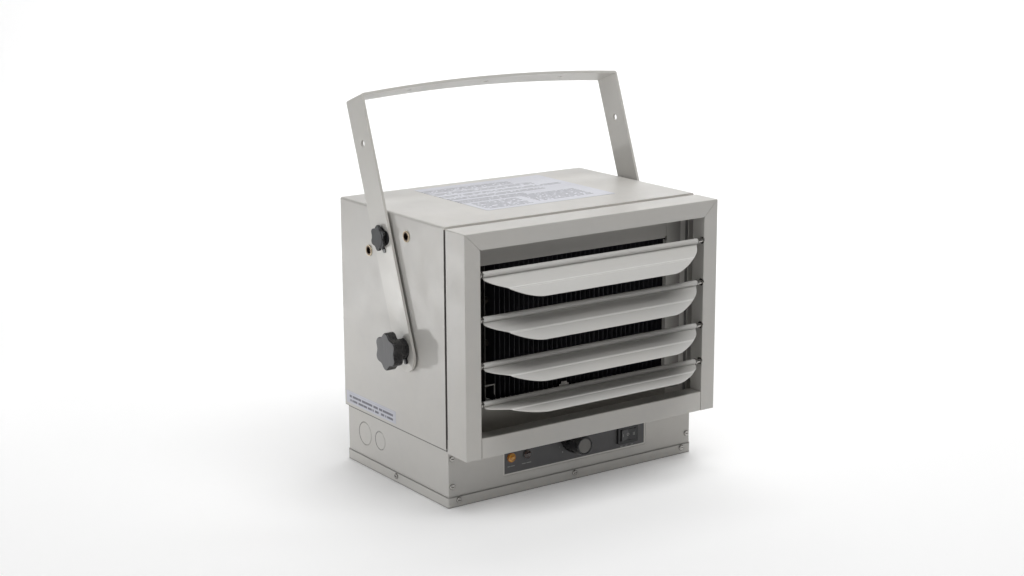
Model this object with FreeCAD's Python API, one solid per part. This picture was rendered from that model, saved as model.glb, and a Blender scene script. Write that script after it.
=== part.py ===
import FreeCAD, Part
import math
import os
from FreeCAD import Vector as V

os.makedirs("parts", exist_ok=True)

# Hard-wired utility fan heater: sheet-metal case, control box below, louvred outlet, U bracket.
# Millimetres. +X to the right of someone facing the outlet, -Y the outlet side, +Z up.
# Origin: centre of the base cover's underside.

# ---------------------------------------------------------------- driving dimensions
T = 1.2                                   # case sheet
BODY_HW, BODY_YF, BODY_YB = 177.1, -109.05, 114.75
BODY_ZB, BODY_ZT = 67.7, 322.0
BEZ_HW, BEZ_YF, BEZ_YB = 178.0, -151.75, -114.25
BEZ_ZB, BEZ_ZT = 65.8, 320.6
OPEN_HW, OPEN_ZT, OPEN_ZB = 158.0, 301.2, 89.0      # bezel opening
RET_Y = -131.5                            # back edge of the bezel's inner return
BASE_HW, BASE_HD, BASE_H, BASE_T = 176.3, 111.55, 12.1, 0.9
BOX_HW, BOX_YB, BOX_ZT = 175.2, 110.4, 78.0
PAN_YF = -110.45                          # control panel, front face
PAN_YB = PAN_YF + T
DUCT_HW, DUCT_ZT, DUCT_ZB = 137.2, 272.4, 112.4      # element opening in the inner front
FAN_Z, FAN_R, FAN_HOLE_R = 193.0, 101.6, 106.0
LOUVRE_Y = -148.8
LOUVRES = [(273.4, 34.5), (223.2, 31.5), (171.1, 21.5), (127.0, 7.0)]   # pivot z, degrees below level
BLADE_HL, BLADE_HR, CHORD, BEAD_R, PIN_R = 153.5, 149.0, 41.0, 3.2, 1.6    # blade reach left and right of the middle
PIV_Y, PIV_Z = -32.75, 170.0              # bracket pivot
STRAP_X, STRAP_T, STRAP_W = 183.5, 3.0, 37.0
STRAP_L, STRAP_BOW, STRAP_END = 293.5, 7.5, 27.0
TILT = 20.0                               # bracket leans back from upright
INDEX_R, INDEX_STEP = 128.9, 20.0
ARM_HOLE_W, ARM_HOLE_R = 238.5, 3.8
BAR_HOLE_X, BAR_HOLE_R = 108.5, 3.5
STUD_R, FIT = 4.0, 0.05                   # M8 studs
LOCK_GAP = 1.2                            # how far the lock knobs are backed out
FIN_X0, FIN_PITCH, FIN_N, FIN_T = -103.1, 6.7, 37, 0.5
FIN_YF, FIN_YB, FIN_ZB, FIN_ZT = -98.0, -65.0, 110.0, 277.0
ROD_R, ROD_Y = 4.0, -81.5
ROD_Z = [125.0, 150.0, 175.0, 200.0, 225.0, 250.0]
KO = [(72.15, 40.5, 14.1), (37.55, 40.5, 11.1)]      # knockouts: y, z, radius

X, Y, Z = V(1, 0, 0), V(0, 1, 0), V(0, 0, 1)
nodes = {}


def box(x0, x1, y0, y1, z0, z1):
    return Part.makeBox(x1 - x0, y1 - y0, z1 - z0, V(x0, y0, z0))


def cyl(p, axis, r, h):
    return Part.makeCylinder(r, h, V(*p), V(*axis))


def ring(p, axis, ro, ri, h):
    return cyl(p, axis, ro, h).cut(cyl(p, axis, ri, h))


def fuse(*s):
    a = s[0].multiFuse(list(s[1:])) if len(s) > 1 else s[0]
    return a.removeSplitter()


def poly(points, vec):
    w = Part.makePolygon([V(*p) for p in points + [points[0]]])
    return Part.Face(w).extrude(V(*vec))


def mirror(s):
    return s.mirror(V(0, 0, 0), X)


def rounded(x0, x1, z0, z1, y0, y1, r):
    """Plate in the XZ plane with rounded corners, from y0 to y1."""
    b = box(x0, x1, y0, y1, z0, z1)
    e = [k for k in b.Edges if abs(abs(k.tangentAt(k.FirstParameter).y) - 1) < 1e-6]
    return b.makeFillet(r, e)


def add(name, *shapes):
    sol = []
    for s in shapes:
        sol += s.Solids
    assert sol and all(k.isValid() for k in sol), name
    nodes[name] = sol[0] if len(sol) == 1 else Part.makeCompound(sol)


def screw(p, axis, rh=3.4, hh=2.0, rs=1.6, length=7.0):
    """Cross-recessed pan head. p is the centre of the bearing face; axis points out of the head."""
    a = V(*axis)
    o = V(*p)
    head = Part.makeCylinder(rh, hh, o, a)
    try:
        head = head.makeFillet(hh * 0.55, [e for e in head.Edges if abs((e.CenterOfMass - o).dot(a) - hh) < 1e-6 and e.Length > rh])
    except Exception:
        pass
    s = head.fuse(Part.makeCylinder(rs, length, o, -a))
    up = X if abs(a.x) < 0.5 else Y
    sd = a.cross(up)
    for u, v in ((up, sd), (sd, up)):
        c = box(-rh * 0.6, rh * 0.6, -rh * 0.13, rh * 0.13, 0, 2)
        m = FreeCAD.Matrix(u.x, v.x, a.x, 0, u.y, v.y, a.y, 0, u.z, v.z, a.z, 0, 0, 0, 0, 1)
        c.Placement = FreeCAD.Placement(m)
        c.translate(o + a * (hh - 1.1))
        s = s.cut(c)
    return s.removeSplitter()


def drill(s, pts, axis, r, depth=4.0):
    a = V(*axis)
    return s.cut(Part.makeCompound([Part.makeCylinder(r, 2 * depth, V(*p) - a * depth, a) for p in pts]))


# ---------------------------------------------------------------- screw positions
base_front = [(-162.5, 0, 7.8), (0, 0, 7.8), (162.0, 0, 7.8)]
base_front = [(x, -BASE_HD, z) for x, y, z in base_front]
base_rear = [(x, BASE_HD, z) for x, y, z in base_front]
base_side = [(-BASE_HW, -0.25, 7.7), (BASE_HW, -0.25, 7.7)]
panel_pts = [(x, PAN_YF, z) for x in (-170.5, 170.5) for z in (24.5, 57.5)]
rear_pts = [(x, BODY_YB, z) for x in (-169.0, 169.0) for z in (86.0, 195.0, 304.0)] + [(x, BODY_YB, 314.0) for x in (-90.0, 90.0)]
bezel_pts = [(x, -114.25, z) for x in (-170.5, 170.5) for z in (95.0, 200.0, 300.0)] + [(x, -114.25, 313.0) for x in (-80.0, 80.0)]

# ---------------------------------------------------------------- base cover and lower box
b = box(-BASE_HW, BASE_HW, -BASE_HD, BASE_HD, 0, BASE_H)
b = b.makeFillet(2.0, [e for e in b.Edges if abs(e.tangentAt(e.FirstParameter).z) > 0.99])
c = box(-BASE_HW + BASE_T, BASE_HW - BASE_T, -BASE_HD + BASE_T, BASE_HD - BASE_T, BASE_T, BASE_H + 1)
c = c.makeFillet(0.25, [e for e in c.Edges if abs(e.tangentAt(e.FirstParameter).z) > 0.99])
b = b.cut(c)
b = drill(b, base_front + base_rear, (0, 1, 0), 1.75)
b = drill(b, base_side, (1, 0, 0), 1.75)
add("base_cover", b)

i = BOX_HW - T
s = fuse(
    box(-BOX_HW, -i, -109.25, BOX_YB, 1.2, BOX_ZT),
    box(i, BOX_HW, -109.25, BOX_YB, 1.2, BOX_ZT),
    box(-BOX_HW, BOX_HW, BOX_YB - T, BOX_YB, 1.2, BOX_ZT),
    box(-i, -163.0, PAN_YB, PAN_YB + T, 1.2, 66.6),
    box(163.0, i, PAN_YB, PAN_YB + T, 1.2, 66.6),
    box(-i, i, PAN_YB + T, -98.0, 1.2, 2.4),
    box(-i, -i + 10, -98.0, BOX_YB - T, 1.2, 2.4),
    box(i - 10, i, -98.0, BOX_YB - T, 1.2, 2.4),
    box(-i + 10, i - 10, BOX_YB - T - 10, BOX_YB - T, 1.2, 2.4),
)
s = s.cut(box(-163, 163, -112, PAN_YB + 0.01, 0, 70)).cut(box(-200, 200, -112, BODY_YF + T + 0.2, 66.6, 90))
for y, z, r in KO:
    k = cyl((-BOX_HW - 1, y, z), (1, 0, 0), r, T + 2).cut(cyl((-BOX_HW - 1, y, z), (1, 0, 0), r - 0.45, T + 2))
    for a in (35.0, 215.0):
        t = box(-BOX_HW - 2, -BOX_HW + 4, -1.3, 1.3, 0, r + 2)
        t.rotate(V(0, 0, 0), X, a)
        t.translate(V(0, y, z))
        k = k.cut(t)
    s = s.cut(k)
s = drill(s, base_rear, (0, 1, 0), 1.6)
s = drill(s, base_front, (0, 1, 0), 1.9, 6.0)
s = drill(s, base_side, (1, 0, 0), 1.6)
s = drill(s, panel_pts, (0, 1, 0), 1.6)
add("lower_box", s)

FAS = (-101.0, 107.0, 22.6, 62.5)
s = box(-BOX_HW, BOX_HW, PAN_YF, PAN_YB, 1.2, 80.0)
s = s.fuse(box(-162, 162, PAN_YB, PAN_YB + 9, 2.5, 3.7)).removeSplitter()
s = s.cut(rounded(FAS[0], FAS[1], FAS[2], FAS[3], PAN_YF - 1, PAN_YB + 1, 2.6))
s = drill(s, panel_pts, (0, 1, 0), 1.75)
s = drill(s, base_front, (0, 1, 0), 1.6)
add("control_panel", s)

LAMP_X, LAMP2_X, LAMP_Z = -89.4, -67.5, 43.2
TH_X, TH_Z = -4.2, 48.0
RK_X, RK_Z, RK_W, RK_H = 78.5, 40.5, 29.6, 21.4
FF = PAN_YF + 0.45                        # fascia face
s = fuse(
    rounded(FAS[0] + 0.2, FAS[1] - 0.2, FAS[2] + 0.2, FAS[3] - 0.2, FF, PAN_YB + 0.001, 2.4),
    box(FAS[0] - 6, FAS[1] + 6, PAN_YB, PAN_YB + 1.6, FAS[2] - 4, FAS[3] + 3.5),
)
for x in (LAMP_X, LAMP2_X):
    s = s.cut(cyl((x, -120, LAMP_Z), (0, 1, 0), 5.3, 20))
s = s.cut(cyl((TH_X, -120, TH_Z), (0, 1, 0), 5.1, 20))
s = s.cut(box(RK_X - 13.2, RK_X + 13.2, -120, -100, RK_Z - 9.5, RK_Z + 9.5))
add("control_fascia", s)

# divider: floor of the air duct, with the upstand that closes the front below the element
s = fuse(
    box(-173.8, 173.8, BODY_YF + T, 108.8, 68.2, 69.4),
    box(-DUCT_HW, DUCT_HW, BODY_YF, BODY_YF + T, 68.2, DUCT_ZB),
    box(-DUCT_HW, DUCT_HW, BODY_YF, BODY_YF + 6.0, DUCT_ZB - T, DUCT_ZB),
    box(-173.8, -172.6, -100, 108.8, 68.2, 78.0),
    box(172.6, 173.8, -100, 108.8, 68.2, 78.0),
)
for x in (-150.0, -120.0):
    s = s.cut(cyl((x, -40, 60), (0, 0, 1), 6.0, 20))
add("divider_plate", s)

# ---------------------------------------------------------------- housing wrap
o = box(-BODY_HW, BODY_HW, BODY_YF, BODY_YB, BODY_ZB - 20, BODY_ZT)
o = o.makeFillet(2.6, [e for e in o.Edges if abs(e.tangentAt(e.FirstParameter).y) > 0.99 and e.CenterOfMass.z > 300])
n = box(-BODY_HW + T, BODY_HW - T, BODY_YF - 5, BODY_YB + 5, BODY_ZB - 30, BODY_ZT - T)
n = n.makeFillet(1.4, [e for e in n.Edges if abs(e.tangentAt(e.FirstParameter).y) > 0.99 and e.CenterOfMass.z > 300])
shell = o.cut(n)
fl = [
    box(-BODY_HW + 0.6, -DUCT_HW, BODY_YF, BODY_YF + T, BODY_ZB, BODY_ZT - 0.7),
    box(DUCT_HW, BODY_HW - 0.6, BODY_YF, BODY_YF + T, BODY_ZB, BODY_ZT - 0.7),
    box(-DUCT_HW, DUCT_HW, BODY_YF, BODY_YF + T, DUCT_ZT, BODY_ZT - 0.7),
    box(-DUCT_HW, -DUCT_HW + T, BODY_YF, BODY_YF + 6, DUCT_ZB + 2, DUCT_ZT - 3),
    box(DUCT_HW - T, DUCT_HW, BODY_YF, BODY_YF + 6, DUCT_ZB + 2, DUCT_ZT - 3),
    box(-DUCT_HW + 3, DUCT_HW - 3, BODY_YF, BODY_YF + 6, DUCT_ZT, DUCT_ZT + T),
    box(-BODY_HW + 0.6, -BODY_HW + 14, BODY_YB - T, BODY_YB, BODY_ZB, BODY_ZT - 0.7),
    box(BODY_HW - 14, BODY_HW - 0.6, BODY_YB - T, BODY_YB, BODY_ZB, BODY_ZT - 0.7),
    box(-BODY_HW + 14, BODY_HW - 14, BODY_YB - T, BODY_YB, BODY_ZT - 14, BODY_ZT - 0.7),
]
s = shell.multiFuse(fl)
s = s.cut(box(-200, 200, -200, 200, 0, BODY_ZB))
# the front flanges meet at a seam above each corner-relief notch
for m in (-1, 1):
    x = m * (DUCT_HW - 1.6)
    s = s.cut(box(x - 0.25, x + 0.25, BODY_YF - 1, BODY_YF + 0.5, DUCT_ZT, BODY_ZT - 4))
    s = s.cut(box(min(m * (DUCT_HW - 3), m * DUCT_HW), max(m * (DUCT_HW - 3), m * DUCT_HW), BODY_YF - 1, BODY_YF + 8, DUCT_ZT - 3, DUCT_ZT + 2.2))


def arc_pos(deg, r):
    """Point on the side wall at angle deg back from upright and r above the pivot."""
    t = math.radians(deg)
    return PIV_Y + r * math.sin(t), PIV_Z + r * math.cos(t)


INS = [arc_pos(TILT + k * INDEX_STEP, INDEX_R) for k in (-1, 0, 1)]
ins_pts = INS + [(PIV_Y, PIV_Z)]
for y, z in ins_pts:
    s = s.cut(cyl((-190, y, z), (1, 0, 0), 5.5, 380))
s = drill(s, rear_pts, (0, 1, 0), 1.75)
s = drill(s, [(x, BODY_YF, z) for x, y, z in bezel_pts], (0, 1, 0), 1.75)
add("housing_wrap", s.removeSplitter())

# rear panel with the fan orifice
s = box(-175.5, 175.5, BODY_YB - 2 * T, BODY_YB - T, BODY_ZB + 0.6, BODY_ZT - T - 1.0)
s = s.cut(cyl((0, 100, FAN_Z), (0, 1, 0), FAN_HOLE_R + 5.0, 30))
s = s.fuse(ring((0, BODY_YB - 2 * T - 14, FAN_Z), (0, 1, 0), FAN_HOLE_R + T, FAN_HOLE_R, 14.0))
lip = Part.makeTorus(FAN_HOLE_R + 5.0, 5.0, V(0, BODY_YB - 2 * T - 4, FAN_Z), Y).cut(Part.makeTorus(FAN_HOLE_R + 5.0, 3.8, V(0, BODY_YB - 2 * T - 4, FAN_Z), Y))
bell = ring((0, BODY_YB - 2 * T, FAN_Z), (0, 1, 0), FAN_HOLE_R + 5.2, FAN_HOLE_R + 0.6, T).fuse(ring((0, BODY_YB - 2 * T - 14, FAN_Z), (0, 1, 0), FAN_HOLE_R + T, FAN_HOLE_R, 15.2))
s = s.fuse(bell)
s = drill(s, rear_pts, (0, 1, 0), 1.6)
GUARD_A = [45.0, 135.0, 225.0, 315.0]
guard_pts = [(120.0 * math.cos(math.radians(a)), BODY_YB - T, FAN_Z + 120.0 * math.sin(math.radians(a))) for a in GUARD_A]
s = drill(s, guard_pts, (0, 1, 0), 1.6)
MB = [(x, BODY_YB - T, FAN_Z) for x in (-127.0, 127.0)]
s = drill(s, MB, (0, 1, 0), 1.6)
add("rear_panel", s.removeSplitter())

# ---------------------------------------------------------------- bezel
o = box(-BEZ_HW, BEZ_HW, BEZ_YF, BEZ_YB, BEZ_ZB, BEZ_ZT)
o = o.makeFillet(1.3, [e for e in o.Edges if abs(e.tangentAt(e.FirstParameter).y) > 0.99 and e.CenterOfMass.z > 300])
fe = [e for e in o.Edges if abs(e.CenterOfMass.y - BEZ_YF) < 0.01 and e.CenterOfMass.z > 66.5]
o = o.makeFillet(0.9, fe)
n = box(-BEZ_HW + T, BEZ_HW - T, BEZ_YF + T, BEZ_YB + 5, BEZ_ZB - 5, BEZ_ZT - T)
s = o.cut(n).cut(box(-OPEN_HW, OPEN_HW, BEZ_YF - 2, BEZ_YF + 4, BEZ_ZB - 5, OPEN_ZT))
s = s.multiFuse([
    box(-OPEN_HW - T, -OPEN_HW, BEZ_YF, RET_Y, BEZ_ZB, OPEN_ZT + T),
    box(OPEN_HW, OPEN_HW + T, BEZ_YF, RET_Y, BEZ_ZB, OPEN_ZT + T),
    box(-OPEN_HW - T, OPEN_HW + T, BEZ_YF, RET_Y, OPEN_ZT, OPEN_ZT + T),
    box(-BEZ_HW + 0.6, -BEZ_HW + 13.2, BEZ_YB - T, BEZ_YB, BEZ_ZB, BEZ_ZT - 0.6),
    box(BEZ_HW - 13.2, BEZ_HW - 0.6, BEZ_YB - T, BEZ_YB, BEZ_ZB, BEZ_ZT - 0.6),
    box(-BEZ_HW + 13.2, BEZ_HW - 13.2, BEZ_YB - T, BEZ_YB, BEZ_ZT - 13.2, BEZ_ZT - 0.6),
    box(-BEZ_HW + 0.6, -OPEN_HW - T + 0.1, BEZ_YF + 0.6, BEZ_YB, BEZ_ZB, BEZ_ZB + T),
    box(OPEN_HW + T - 0.1, BEZ_HW - 0.6, BEZ_YF + 0.6, BEZ_YB, BEZ_ZB, BEZ_ZB + T),
])
# mitred corners: a shallow seam and the small gap at its inner end
for m in (-1, 1):
    g = box(-0.2, 0.2, BEZ_YF - 1, BEZ_YF + 0.45, 0, 27.2)
    g.rotate(V(0, 0, 0), Y, 45.9 * m)
    g.translate(V(m * OPEN_HW, 0, OPEN_ZT))
    s = s.cut(g)
    s = s.cut(box(m * OPEN_HW - 0.7, m * OPEN_HW + 0.7, BEZ_YF - 1, RET_Y + 1, OPEN_ZT - 0.7, OPEN_ZT + 0.7))
for z, a in LOUVRES:
    s = s.cut(cyl((-165, LOUVRE_Y, z), (1, 0, 0), PIN_R, 330))
s = drill(s, bezel_pts, (0, 1, 0), 1.6)
add("front_bezel", s.removeSplitter())

e = OPEN_HW - 0.8
s = fuse(
    box(-e, e, BEZ_YF, BEZ_YF + T, BEZ_ZB, OPEN_ZB),
    box(-e, e, BEZ_YF, BEZ_YB, BEZ_ZB, BEZ_ZB + T),
    box(-e, e, BEZ_YF, RET_Y, OPEN_ZB - T, OPEN_ZB),
    box(-OPEN_HW, -OPEN_HW + T, BEZ_YF + 2.5, RET_Y - 1, BEZ_ZB, OPEN_ZB - 1.5),
    box(OPEN_HW - T, OPEN_HW, BEZ_YF + 2.5, RET_Y - 1, BEZ_ZB, OPEN_ZB - 1.5),
)
ed = [k for k in s.Edges if abs(k.CenterOfMass.y - BEZ_YF) < 0.01 and k.Length > 200]
s = s.makeFillet(0.8, ed)
add("bezel_bottom_rail", s)

add("bezel_spacers", *[ring((x, BEZ_YB, z), (0, 1, 0), 4.5, 1.75, BODY_YF - BEZ_YB) for x, y, z in bezel_pts])
add("bezel_screws", *[screw((x, BODY_YF + T, z), (0, 1, 0), 3.2, 1.9, 1.55, 12.0) for x, y, z in bezel_pts])

# ---------------------------------------------------------------- louvres
blade_pts = [(0.0, -2.75), (6.0, -2.75), (15.5, -0.9), (24.8, 0.3), (25.8, -0.5), (CHORD, -2.8)]
# outline of a blade's left and right ends, seen square on: x from the middle, distance from the pin
blade_end = [(BLADE_HL, 6.0), (150.6, 10.5), (147.0, 14.6), (139.0, 20.4), (131.0, 25.6), (125.0, 29.6), (119.5, 32.7), (111.0, 36.6), (101.5, 39.6), (91.0, CHORD)]
blade_end_r = [(BLADE_HR, 1.5), (145.9, 6.6), (141.6, 12.5), (135.6, 18.8), (128.6, 24.3), (119.8, 30.1), (110.6, 34.9), (102.0, 38.5), (91.0, CHORD)]


def offset_poly(pts, t):
    """Closed outline of a bent strip of thickness t about the given middle line."""
    up, dn = [], []
    for k, (a, c) in enumerate(pts):
        d = []
        if k > 0:
            d.append((a - pts[k - 1][0], c - pts[k - 1][1]))
        if k < len(pts) - 1:
            d.append((pts[k + 1][0] - a, pts[k + 1][1] - c))
        nx = ny = 0.0
        for q in d:
            h = math.hypot(*q)
            nx -= q[1] / h
            ny += q[0] / h
        h = math.hypot(nx, ny)
        nx, ny = nx / h, ny / h
        up.append((a + nx * t / 2, c + ny * t / 2))
        dn.append((a - nx * t / 2, c - ny * t / 2))
    return up + dn[::-1]


pins = []
for k, (z0, ang) in enumerate(LOUVRES):
    # built level: front edge towards -Y, then turned about the pin
    out = offset_poly(blade_pts, 0.9)
    sheet = poly([(-BLADE_HL, -u, n) for u, n in out], (BLADE_HL + BLADE_HR, 0, 0))
    right = [V(x, -u, -15) for x, u in blade_end_r]
    left = [V(-x, -u, -15) for x, u in blade_end]
    cv = Part.BSplineCurve()
    cv.interpolate(right)
    e1 = cv.toShape()
    cv = Part.BSplineCurve()
    cv.interpolate(left)
    e2 = cv.toShape()
    p0, p1, p2, p3 = right[0], right[-1], left[-1], left[0]
    q0, q3 = V(BLADE_HR, 5, -15), V(-BLADE_HL, 5, -15)
    pn = V(p1.x, p1.y - 2, -15)
    pm = V(p2.x, p2.y - 2, -15)
    mask = Part.Face(Part.Wire([Part.makeLine(q0, p0), e1, Part.makeLine(p1, pn), Part.makeLine(pn, pm), Part.makeLine(pm, p2), e2, Part.makeLine(p3, q3), Part.makeLine(q3, q0)])).extrude(V(0, 0, 30))
    sheet = sheet.common(mask)
    bead = cyl((-BLADE_HL, 0, 0), (1, 0, 0), BEAD_R, BLADE_HL + BLADE_HR)
    s = sheet.fuse(bead).cut(cyl((-BLADE_HL - 1, 0, 0), (1, 0, 0), PIN_R + FIT, BLADE_HL + BLADE_HR + 2))
    s = s.removeSplitter()
    s.rotate(V(0, 0, 0), X, ang)
    s.translate(V(0, LOUVRE_Y, z0))
    add("louvre_%d" % (k + 1), s)
    pins.append(cyl((-163.0, LOUVRE_Y, z0), (1, 0, 0), PIN_R, 326.0))
add("louvre_pins", *pins)
clips = []
for z0, ang in LOUVRES:
    for m in (-1, 1):
        a, c = (-OPEN_HW, -BLADE_HL - 0.4) if m < 0 else (BLADE_HR + 0.4, OPEN_HW)
        r = ring((a, LOUVRE_Y, z0), (1, 0, 0), 2.6, PIN_R + 0.1, c - a)
        w = a if m < 0 else c - 1.0
        r = r.fuse(ring((w, LOUVRE_Y, z0), (1, 0, 0), 4.2, PIN_R + 0.1, 1.0)).removeSplitter()
        w2 = c - 1.0 if m < 0 else a
        r = r.fuse(ring((w2, LOUVRE_Y, z0), (1, 0, 0), 3.8, PIN_R + 0.1, 1.0)).removeSplitter()
        clips.append(r)
add("louvre_friction_clips", *clips)

# ---------------------------------------------------------------- heating element
fins = []
holes = Part.makeCompound([cyl((FIN_X0 - 5, ROD_Y, z), (1, 0, 0), ROD_R, 300) for z in ROD_Z])
f0 = box(0, FIN_T, FIN_YF, FIN_YB, FIN_ZB, FIN_ZT)
f0 = f0.cut(Part.makeCompound([cyl((-1, ROD_Y, z), (1, 0, 0), ROD_R, 5) for z in ROD_Z]))
for k in range(FIN_N):
    f = f0.copy()
    f.translate(V(FIN_X0 + k * FIN_PITCH, 0, 0))
    fins.append(f)
add("element_fins", *fins)

rods = []
XL, XR = -132.0, 143.5
for k in range(3):
    za, zb = ROD_Z[2 * k], ROD_Z[2 * k + 1]
    p = [V(XL, ROD_Y, za), V(XR, ROD_Y, za), V(XR, ROD_Y, zb), V(XL, ROD_Y, zb)]
    mid = V(XR + (zb - za) / 2, ROD_Y, (za + zb) / 2)
    w = Part.Wire([Part.makeLine(p[0], p[1]), Part.Arc(p[1], mid, p[2]).toShape(), Part.makeLine(p[2], p[3])])
    prof = Part.Wire([Part.makeCircle(ROD_R, p[0], X)])
    rods.append(w.makePipeShell([prof], True, True))
add("element_rods", *rods)
ROD_PTS = [(ROD_Y, z) for z in ROD_Z]
caps = []
for y, z in ROD_PTS:
    c = ring((XL - 2, y, z), (1, 0, 0), 5.5, ROD_R, 9.0)
    caps.append(c)
add("element_insulators", *caps)
spades = []
for y, z in ROD_PTS:
    q = cyl((XL - 12.0, y, z), (1, 0, 0), 1.5, 12.0).fuse(box(XL - 20.0, XL - 11.0, y - 0.4, y + 0.4, z - 3.1, z + 3.1)).removeSplitter()
    spades.append(q)
add("element_terminals", *spades)
ebr = []
for x, sx in ((-118.0, -1), (141.3, 1)):
    a, c = x, x + T
    s = box(a, c, FIN_YF - 1.5, FIN_YB + 5, 69.4, FIN_ZT + 4)
    foot = box(a - 14, a, FIN_YF + 4, FIN_YB, 69.4, 70.6) if sx < 0 else box(c, c + 14, FIN_YF + 4, FIN_YB, 69.4, 70.6)
    s = s.fuse(foot)
    for y, z in ROD_PTS:
        s = s.cut(cyl((a - 2, y, z), (1, 0, 0), ROD_R, 8))
    ebr.append(s.removeSplitter())
add("element_brackets", *ebr)
# spring clip that steadies the fins at the bottom of the opening
s = fuse(
    box(-16.5, -2.7, BODY_YF + 6.0, BODY_YF + 6.8, DUCT_ZB - 9, DUCT_ZB + 3.8),
    box(-13.4, -5.4, BODY_YF + 6.0, BODY_YF + 6.8, DUCT_ZB - 9, DUCT_ZB + 6.6),
    box(-16.5, -2.7, BODY_YF + 1.2, BODY_YF + 6.0, DUCT_ZB - 9, DUCT_ZB - 8.2),
)
# bent finger on the left end plate that keeps the first fin upright
f = fuse(
    box(-118.4, -105.0, FIN_YF - 2.3, FIN_YF - 1.5, 130.0, 131.4),
    box(-105.9, -105.0, FIN_YF - 2.3, FIN_YF - 1.5, 118.6, 131.4),
)
add("element_clip", s, f)

# ---------------------------------------------------------------- fan and motor
MY0, MY1 = 18.0, 78.0
s = cyl((0, MY0, FAN_Z), (0, 1, 0), 38.0, MY1 - MY0 - 8)
s = s.fuse(cyl((0, MY1 - 8.2, FAN_Z), (0, 1, 0), 34.0, 8.2)).fuse(cyl((0, MY0 - 6, FAN_Z), (0, 1, 0), 30.0, 6.2))
for k in range(16):
    v = box(-1.6, 1.6, MY1 - 30, MY1 - 10, 34.5, 40)
    v.rotate(V(0, 0, 0), Y, k * 22.5)
    v.translate(V(0, 0, FAN_Z))
    s = s.cut(v)
s = s.cut(cyl((0, MY1 - 12, FAN_Z), (0, 1, 0), 4.0 + FIT, 20))
add("fan_motor", s.removeSplitter())
s = fuse(
    box(-128.5, 128.5, MY1, MY1 + 2, FAN_Z - 14, FAN_Z + 14),
    box(-128.5 + 8, -118.5, MY1, BODY_YB - 2 * T, FAN_Z - 14, FAN_Z + 14),
    box(118.5, 128.5 - 8, MY1, BODY_YB - 2 * T, FAN_Z - 14, FAN_Z + 14),
    box(-134.0, -118.5, BODY_YB - 2 * T - 2, BODY_YB - 2 * T, FAN_Z - 14, FAN_Z + 14),
    box(118.5, 134.0, BODY_YB - 2 * T - 2, BODY_YB - 2 * T, FAN_Z - 14, FAN_Z + 14),
)
s = s.cut(box(-140, -120.5, MY1 - 1, MY1 + 3, 0, 400)).cut(box(120.5, 140, MY1 - 1, MY1 + 3, 0, 400))
s = s.cut(cyl((0, MY1 - 2, FAN_Z), (0, 1, 0), 9.0, 8))
MS = [(x, MY1 + 2, FAN_Z) for x in (-24.0, 24.0)]
s = drill(s, MS + MB, (0, 1, 0), 1.75, 5.0)
add("motor_bracket", s.removeSplitter())
m = nodes["fan_motor"]
m = drill(m, [(x, MY1, FAN_Z) for x in (-24.0, 24.0)], (0, 1, 0), 1.65, 9.0)
add("fan_motor", m)
add("motor_screws", *[screw(p, (0, 1, 0), 3.2, 1.8, 1.6, 8.0) for p in MS], *[screw((x, BODY_YB - T, z), (0, 1, 0), 3.2, 1.1, 1.55, 9.0) for x, y, z in MB])
add("fan_shaft", cyl((0, MY1 - 11.0, FAN_Z), (0, 1, 0), 4.0, 46.0))
FY = 97.0
hub = cyl((0, FY - 9, FAN_Z), (0, 1, 0), 21.0, 18.0)
s = hub
for k in range(5):
    bl = box(-34, 34, -0.75, 0.75, 17, FAN_R + 5)
    bl.rotate(V(0, 0, 0), Z, 24.0)
    bl.rotate(V(0, 0, 0), Y, k * 72.0)
    bl.translate(V(0, FY, FAN_Z))
    s = s.fuse(bl.common(cyl((0, FY - 30, FAN_Z), (0, 1, 0), FAN_R, 60).cut(cyl((0, FY - 30, FAN_Z), (0, 1, 0), 17.0, 60))))
s = s.cut(cyl((0, FY - 20, FAN_Z), (0, 1, 0), 4.0, 50))
add("fan_blade", s.removeSplitter())
nut = Part.Face(Part.makePolygon([V(6.5 * math.cos(math.radians(a)), FY + 9, FAN_Z + 6.5 * math.sin(math.radians(a))) for a in range(0, 361, 60)])).extrude(V(0, 5, 0))
add("fan_nut", nut.cut(cyl((0, FY, FAN_Z), (0, 1, 0), 4.0, 30)))

# ---------------------------------------------------------------- rear guard
WR = 1.3
GY = 133.75 - WR
g = []
for r in (16.0, 31.0, 46.0, 61.0, 76.0, 91.0, 106.0):
    g.append(Part.makeTorus(r, WR, V(0, GY - 1.9, FAN_Z), Y))
for a in GUARD_A:
    t = math.radians(a)
    c, d = math.cos(t), math.sin(t)
    g.append(cyl((c * 6, GY, FAN_Z + d * 6), (c, 0, d), WR, 105.5))
    g.append(Part.makeSphere(WR, V(c * 111.5, GY, FAN_Z + d * 111.5)))
    g.append(cyl((c * 111.5, BODY_YB + WR, FAN_Z + d * 111.5), (0, 1, 0), WR, GY - BODY_YB - WR))
    g.append(Part.makeSphere(WR, V(c * 111.5, BODY_YB + WR, FAN_Z + d * 111.5)))
    g.append(cyl((c * 111.5, BODY_YB + WR, FAN_Z + d * 111.5), (c, 0, d), WR, 5.2))
    g.append(Part.makeTorus(3.6, WR, V(c * 120.0, BODY_YB + WR, FAN_Z + d * 120.0), Y))
g.append(cyl((0, GY - WR, FAN_Z), (0, 1, 0), 8.0, 2 * WR - 0.2))
s = g[0].multiFuse(g[1:])
s = s.common(box(-200, 200, BODY_YB, 140, 0, 400))
add("rear_guard", s)
add("guard_screws", *[screw((x, BODY_YB + 2 * WR, z), (0, 1, 0), 5.0, 1.8, 1.55, 8.0) for x, y, z in guard_pts])
s = nodes["housing_wrap"]
for x, y, z in guard_pts:
    s = s.cut(cyl((x, 100, z), (0, 1, 0), 6.6, 20))
add("housing_wrap", s)

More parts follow.
